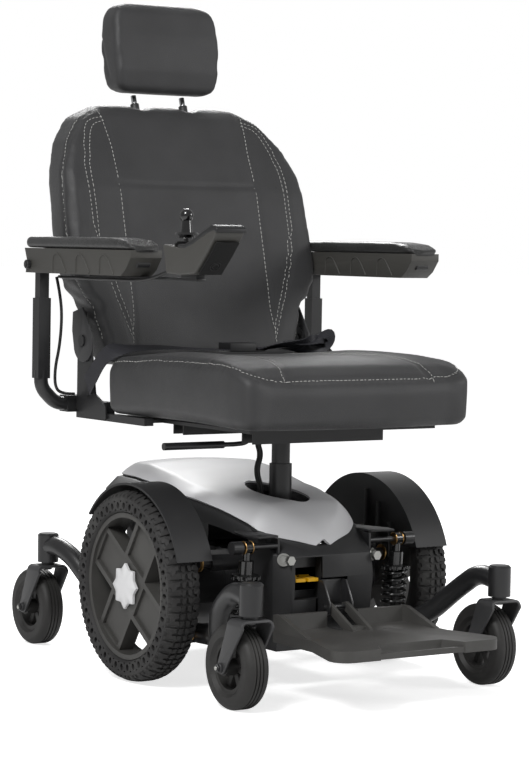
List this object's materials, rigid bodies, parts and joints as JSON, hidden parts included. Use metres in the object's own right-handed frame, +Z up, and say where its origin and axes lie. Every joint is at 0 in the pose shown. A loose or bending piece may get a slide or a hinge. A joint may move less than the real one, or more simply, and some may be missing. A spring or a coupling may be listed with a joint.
{
  "type": "power wheelchair",
  "caption": "Mid-wheel-drive electric wheelchair with a padded reclining captain's seat on a swivelling post, flip-up armrests, joystick controller, sprung casters and a fold-up footplate.",
  "frame": {"origin": "centre of the bounding box on the floor", "axes": "+Z up, -Y the way the sitter faces, +X towards the sitter's left hand"},
  "size_m": [0.714, 1.066, 1.296],
  "materials": {
    "black_steel": "satin",
    "charcoal_plastic": "matte",
    "cover_plastic": "matte",
    "black_plastic": "satin",
    "charcoal_vinyl": "satin",
    "padded_vinyl": "satin",
    "tyre_rubber": "matte",
    "wheel_grey": "matte",
    "white_cap": "satin",
    "chrome_tube": "polished",
    "zinc_bolt": "satin",
    "bronze_ring": "satin",
    "spring_black": "gloss",
    "belt_webbing": "matte",
    "cable_rubber": "satin",
    "release_red": "gloss",
    "lever_yellow": "satin",
    "knob_black": "gloss",
    "button_silver": "satin"
  },
  "bodies": {
    "chassis": {"chassis_frame": "black_steel", "base_shroud": "charcoal_plastic", "top_cover": "cover_plastic", "fenders": "charcoal_plastic", "drive_motors": "black_plastic", "power_pack": "black_plastic", "footplate_bracket": "black_steel", "base_fasteners": "zinc_bolt", "pivot_bushes": "bronze_ring"},
    "drive_wheel_right": {"drive_tyre_right": "tyre_rubber", "drive_rim_right": "wheel_grey", "hub_cap_right": "white_cap"},
    "front_arm_right": {"front_arm_right": "black_steel"},
    "front_fork_right": {"front_fork_right": "black_steel"},
    "front_caster_right": {"front_caster_right": "tyre_rubber"},
    "rear_arm_right": {"rear_arm_right": "black_steel"},
    "rear_fork_right": {"rear_fork_right": "black_steel"},
    "rear_caster_right": {"rear_caster_right": "tyre_rubber"},
    "shock_body_right": {"shock_body_right": "black_steel", "shock_spring_right": "spring_black"},
    "shock_rod_right": {"shock_rod_right": "black_steel"},
    "drive_wheel_left": {"drive_tyre_left": "tyre_rubber", "drive_rim_left": "wheel_grey", "hub_cap_left": "white_cap"},
    "front_arm_left": {"front_arm_left": "black_steel"},
    "front_fork_left": {"front_fork_left": "black_steel"},
    "front_caster_left": {"front_caster_left": "tyre_rubber"},
    "rear_arm_left": {"rear_arm_left": "black_steel"},
    "rear_fork_left": {"rear_fork_left": "black_steel"},
    "rear_caster_left": {"rear_caster_left": "tyre_rubber"},
    "shock_body_left": {"shock_body_left": "black_steel", "shock_spring_left": "spring_black"},
    "shock_rod_left": {"shock_rod_left": "black_steel"},
    "seat_post": {"seat_post": "black_steel"},
    "seat": {"seat_frame": "black_steel", "seat_cushion": "padded_vinyl", "lap_belt": "belt_webbing", "belt_buckle": "black_plastic", "controller_cable": "cable_rubber"},
    "buckle_button": {"buckle_button": "release_red"},
    "swivel_lever": {"swivel_lever": "black_steel"},
    "backrest": {"back_cushion": "padded_vinyl", "back_frame": "black_steel"},
    "headrest": {"headrest_pad": "padded_vinyl", "headrest_posts": "chrome_tube"},
    "arm_post_right": {"arm_post_right": "black_steel"},
    "armrest_right": {"arm_shell_right": "black_plastic", "arm_pad_right": "charcoal_vinyl", "controller_housing": "black_plastic"},
    "arm_post_left": {"arm_post_left": "black_steel"},
    "armrest_left": {"arm_shell_left": "black_plastic", "arm_pad_left": "charcoal_vinyl"},
    "joystick_gimbal": {"joystick_gimbal": "black_plastic"},
    "joystick_knob": {"joystick_knob": "knob_black"},
    "power_button": {"power_button": "button_silver"},
    "horn_button": {"horn_button": "button_silver"},
    "speed_dial": {"speed_dial": "button_silver"},
    "footplate": {"footplate": "black_plastic"},
    "freewheel_lever_right": {"freewheel_lever_right": "lever_yellow"},
    "freewheel_lever_left": {"freewheel_lever_left": "lever_yellow"}
  },
  "joints": [
    {"name": "drive_wheel_right_spin", "type": "hinge", "parent": "chassis", "child": "drive_wheel_right", "pos_m": [-0.28, -0.018, 0.178], "axis": [1, 0, 0], "continuous": true},
    {"name": "front_arm_right_swing", "type": "hinge", "parent": "chassis", "child": "front_arm_right", "pos_m": [-0.204, -0.115, 0.097], "axis": [-1, 0, 0], "range_deg": [0, 12], "stiffness_Nm_per_rad": 200, "springref_deg": -28.65},
    {"name": "front_fork_right_swivel", "type": "hinge", "parent": "front_arm_right", "child": "front_fork_right", "pos_m": [-0.2735, -0.397, 0.2], "axis": [0, 0, 1], "continuous": true},
    {"name": "front_caster_right_spin", "type": "hinge", "parent": "front_fork_right", "child": "front_caster_right", "pos_m": [-0.2735, -0.354, 0.076], "axis": [1, 0, 0], "continuous": true},
    {"name": "rear_arm_right_swing", "type": "hinge", "parent": "chassis", "child": "rear_arm_right", "pos_m": [-0.204, 0.132, 0.1], "axis": [1, 0, 0], "range_deg": [0, 10], "stiffness_Nm_per_rad": 200, "springref_deg": -28.65},
    {"name": "rear_fork_right_swivel", "type": "hinge", "parent": "rear_arm_right", "child": "rear_fork_right", "pos_m": [-0.234, 0.414, 0.2], "axis": [0, 0, 1], "continuous": true},
    {"name": "rear_caster_right_spin", "type": "hinge", "parent": "rear_fork_right", "child": "rear_caster_right", "pos_m": [-0.234, 0.457, 0.076], "axis": [1, 0, 0], "continuous": true},
    {"name": "shock_body_right_hinge", "type": "hinge", "parent": "chassis", "child": "shock_body_right", "pos_m": [-0.168, -0.218, 0.264], "axis": [1, 0, 0], "range_deg": [0, 2.05]},
    {"name": "shock_rod_right_slide", "type": "slide", "parent": "shock_body_right", "child": "shock_rod_right", "axis": [0, -0.0748, 0.9972], "range_m": [0, 0.019], "deforming": ["shock_spring_right"]},
    {"name": "drive_wheel_left_spin", "type": "hinge", "parent": "chassis", "child": "drive_wheel_left", "pos_m": [0.28, -0.018, 0.178], "axis": [1, 0, 0], "continuous": true},
    {"name": "front_arm_left_swing", "type": "hinge", "parent": "chassis", "child": "front_arm_left", "pos_m": [0.204, -0.115, 0.097], "axis": [-1, 0, 0], "range_deg": [0, 12], "stiffness_Nm_per_rad": 200, "springref_deg": -28.65},
    {"name": "front_fork_left_swivel", "type": "hinge", "parent": "front_arm_left", "child": "front_fork_left", "pos_m": [0.2735, -0.397, 0.2], "axis": [0, 0, 1], "continuous": true},
    {"name": "front_caster_left_spin", "type": "hinge", "parent": "front_fork_left", "child": "front_caster_left", "pos_m": [0.2735, -0.354, 0.076], "axis": [1, 0, 0], "continuous": true},
    {"name": "rear_arm_left_swing", "type": "hinge", "parent": "chassis", "child": "rear_arm_left", "pos_m": [0.204, 0.132, 0.1], "axis": [1, 0, 0], "range_deg": [0, 10], "stiffness_Nm_per_rad": 200, "springref_deg": -28.65},
    {"name": "rear_fork_left_swivel", "type": "hinge", "parent": "rear_arm_left", "child": "rear_fork_left", "pos_m": [0.234, 0.414, 0.2], "axis": [0, 0, 1], "continuous": true},
    {"name": "rear_caster_left_spin", "type": "hinge", "parent": "rear_fork_left", "child": "rear_caster_left", "pos_m": [0.234, 0.457, 0.076], "axis": [1, 0, 0], "continuous": true},
    {"name": "shock_body_left_hinge", "type": "hinge", "parent": "chassis", "child": "shock_body_left", "pos_m": [0.168, -0.218, 0.264], "axis": [1, 0, 0], "range_deg": [0, 2.05]},
    {"name": "shock_rod_left_slide", "type": "slide", "parent": "shock_body_left", "child": "shock_rod_left", "axis": [0, -0.0748, 0.9972], "range_m": [0, 0.019], "deforming": ["shock_spring_left"]},
    {"name": "seat_height", "type": "slide", "parent": "chassis", "child": "seat_post", "axis": [0, 0, 1], "range_m": [0, 0.05]},
    {"name": "seat_swivel", "type": "hinge", "parent": "seat_post", "child": "seat", "pos_m": [0, -0.071, 0.45], "axis": [0, 0, 1], "range_deg": [-90, 90]},
    {"name": "swivel_lever_lift", "type": "hinge", "parent": "seat", "child": "swivel_lever", "pos_m": [-0.06, -0.069, 0.459], "axis": [0, 1, 0], "range_deg": [0, 7], "stiffness_Nm_per_rad": 4, "springref_deg": -11.46},
    {"name": "buckle_button_press", "type": "slide", "parent": "seat", "child": "buckle_button", "axis": [-1, 0, 0], "range_m": [0, 0.003], "stiffness_N_per_m": 300, "springref_m": -0.002},
    {"name": "backrest_recline", "type": "hinge", "parent": "seat", "child": "backrest", "pos_m": [0, 0.248, 0.621], "axis": [1, 0, 0], "range_deg": [-20, 70]},
    {"name": "headrest_height", "type": "slide", "parent": "backrest", "child": "headrest", "axis": [0, 0.304, 0.9527], "range_m": [0, 0.06]},
    {"name": "arm_height_right", "type": "slide", "parent": "seat", "child": "arm_post_right", "axis": [0, 0, 1], "range_m": [0, 0.06]},
    {"name": "armrest_right_flip", "type": "hinge", "parent": "arm_post_right", "child": "armrest_right", "pos_m": [-0.319, 0.295, 0.768], "axis": [-1, 0, 0], "range_deg": [0, 95]},
    {"name": "arm_height_left", "type": "slide", "parent": "seat", "child": "arm_post_left", "axis": [0, 0, 1], "range_m": [0, 0.06]},
    {"name": "armrest_left_flip", "type": "hinge", "parent": "arm_post_left", "child": "armrest_left", "pos_m": [0.319, 0.295, 0.768], "axis": [-1, 0, 0], "range_deg": [0, 95]},
    {"name": "joystick_forward_back", "type": "hinge", "parent": "armrest_right", "child": "joystick_gimbal", "pos_m": [-0.298, -0.204, 0.815], "axis": [1, 0, 0], "range_deg": [-18, 18], "stiffness_Nm_per_rad": 0.5},
    {"name": "joystick_left_right", "type": "hinge", "parent": "joystick_gimbal", "child": "joystick_knob", "pos_m": [-0.298, -0.204, 0.815], "axis": [0, 1, 0], "range_deg": [-18, 18], "stiffness_Nm_per_rad": 0.5},
    {"name": "power_button_press", "type": "slide", "parent": "armrest_right", "child": "power_button", "axis": [0, -0.42, -0.9075], "range_m": [0, 0.0015], "stiffness_N_per_m": 300, "springref_m": -0.001},
    {"name": "horn_button_press", "type": "slide", "parent": "armrest_right", "child": "horn_button", "axis": [0, -0.42, -0.9075], "range_m": [0, 0.0015], "stiffness_N_per_m": 300, "springref_m": -0.001},
    {"name": "speed_dial_turn", "type": "hinge", "parent": "armrest_right", "child": "speed_dial", "pos_m": [-0.298, -0.286, 0.8247], "axis": [0, 0.42, 0.9075], "range_deg": [-135, 135]},
    {"name": "footplate_flip", "type": "hinge", "parent": "chassis", "child": "footplate", "pos_m": [0, -0.266, 0.152], "axis": [-1, 0, 0], "range_deg": [0, 85]},
    {"name": "freewheel_lever_right_turn", "type": "hinge", "parent": "chassis", "child": "freewheel_lever_right", "pos_m": [-0.067, -0.21, 0.201], "axis": [1, 0, 0], "range_deg": [0, 20]},
    {"name": "freewheel_lever_left_turn", "type": "hinge", "parent": "chassis", "child": "freewheel_lever_left", "pos_m": [-0.039, -0.21, 0.201], "axis": [1, 0, 0], "range_deg": [0, 20]}
  ],
  "couplings": [
    {"joint": "shock_body_right_hinge", "follows": "front_arm_right_swing", "ratio": 0.163},
    {"joint": "shock_rod_right_slide", "follows": "front_arm_right_swing", "m_per_rad": 0.0878},
    {"joint": "shock_body_left_hinge", "follows": "front_arm_left_swing", "ratio": 0.163},
    {"joint": "shock_rod_left_slide", "follows": "front_arm_left_swing", "m_per_rad": 0.0878}
  ]
}
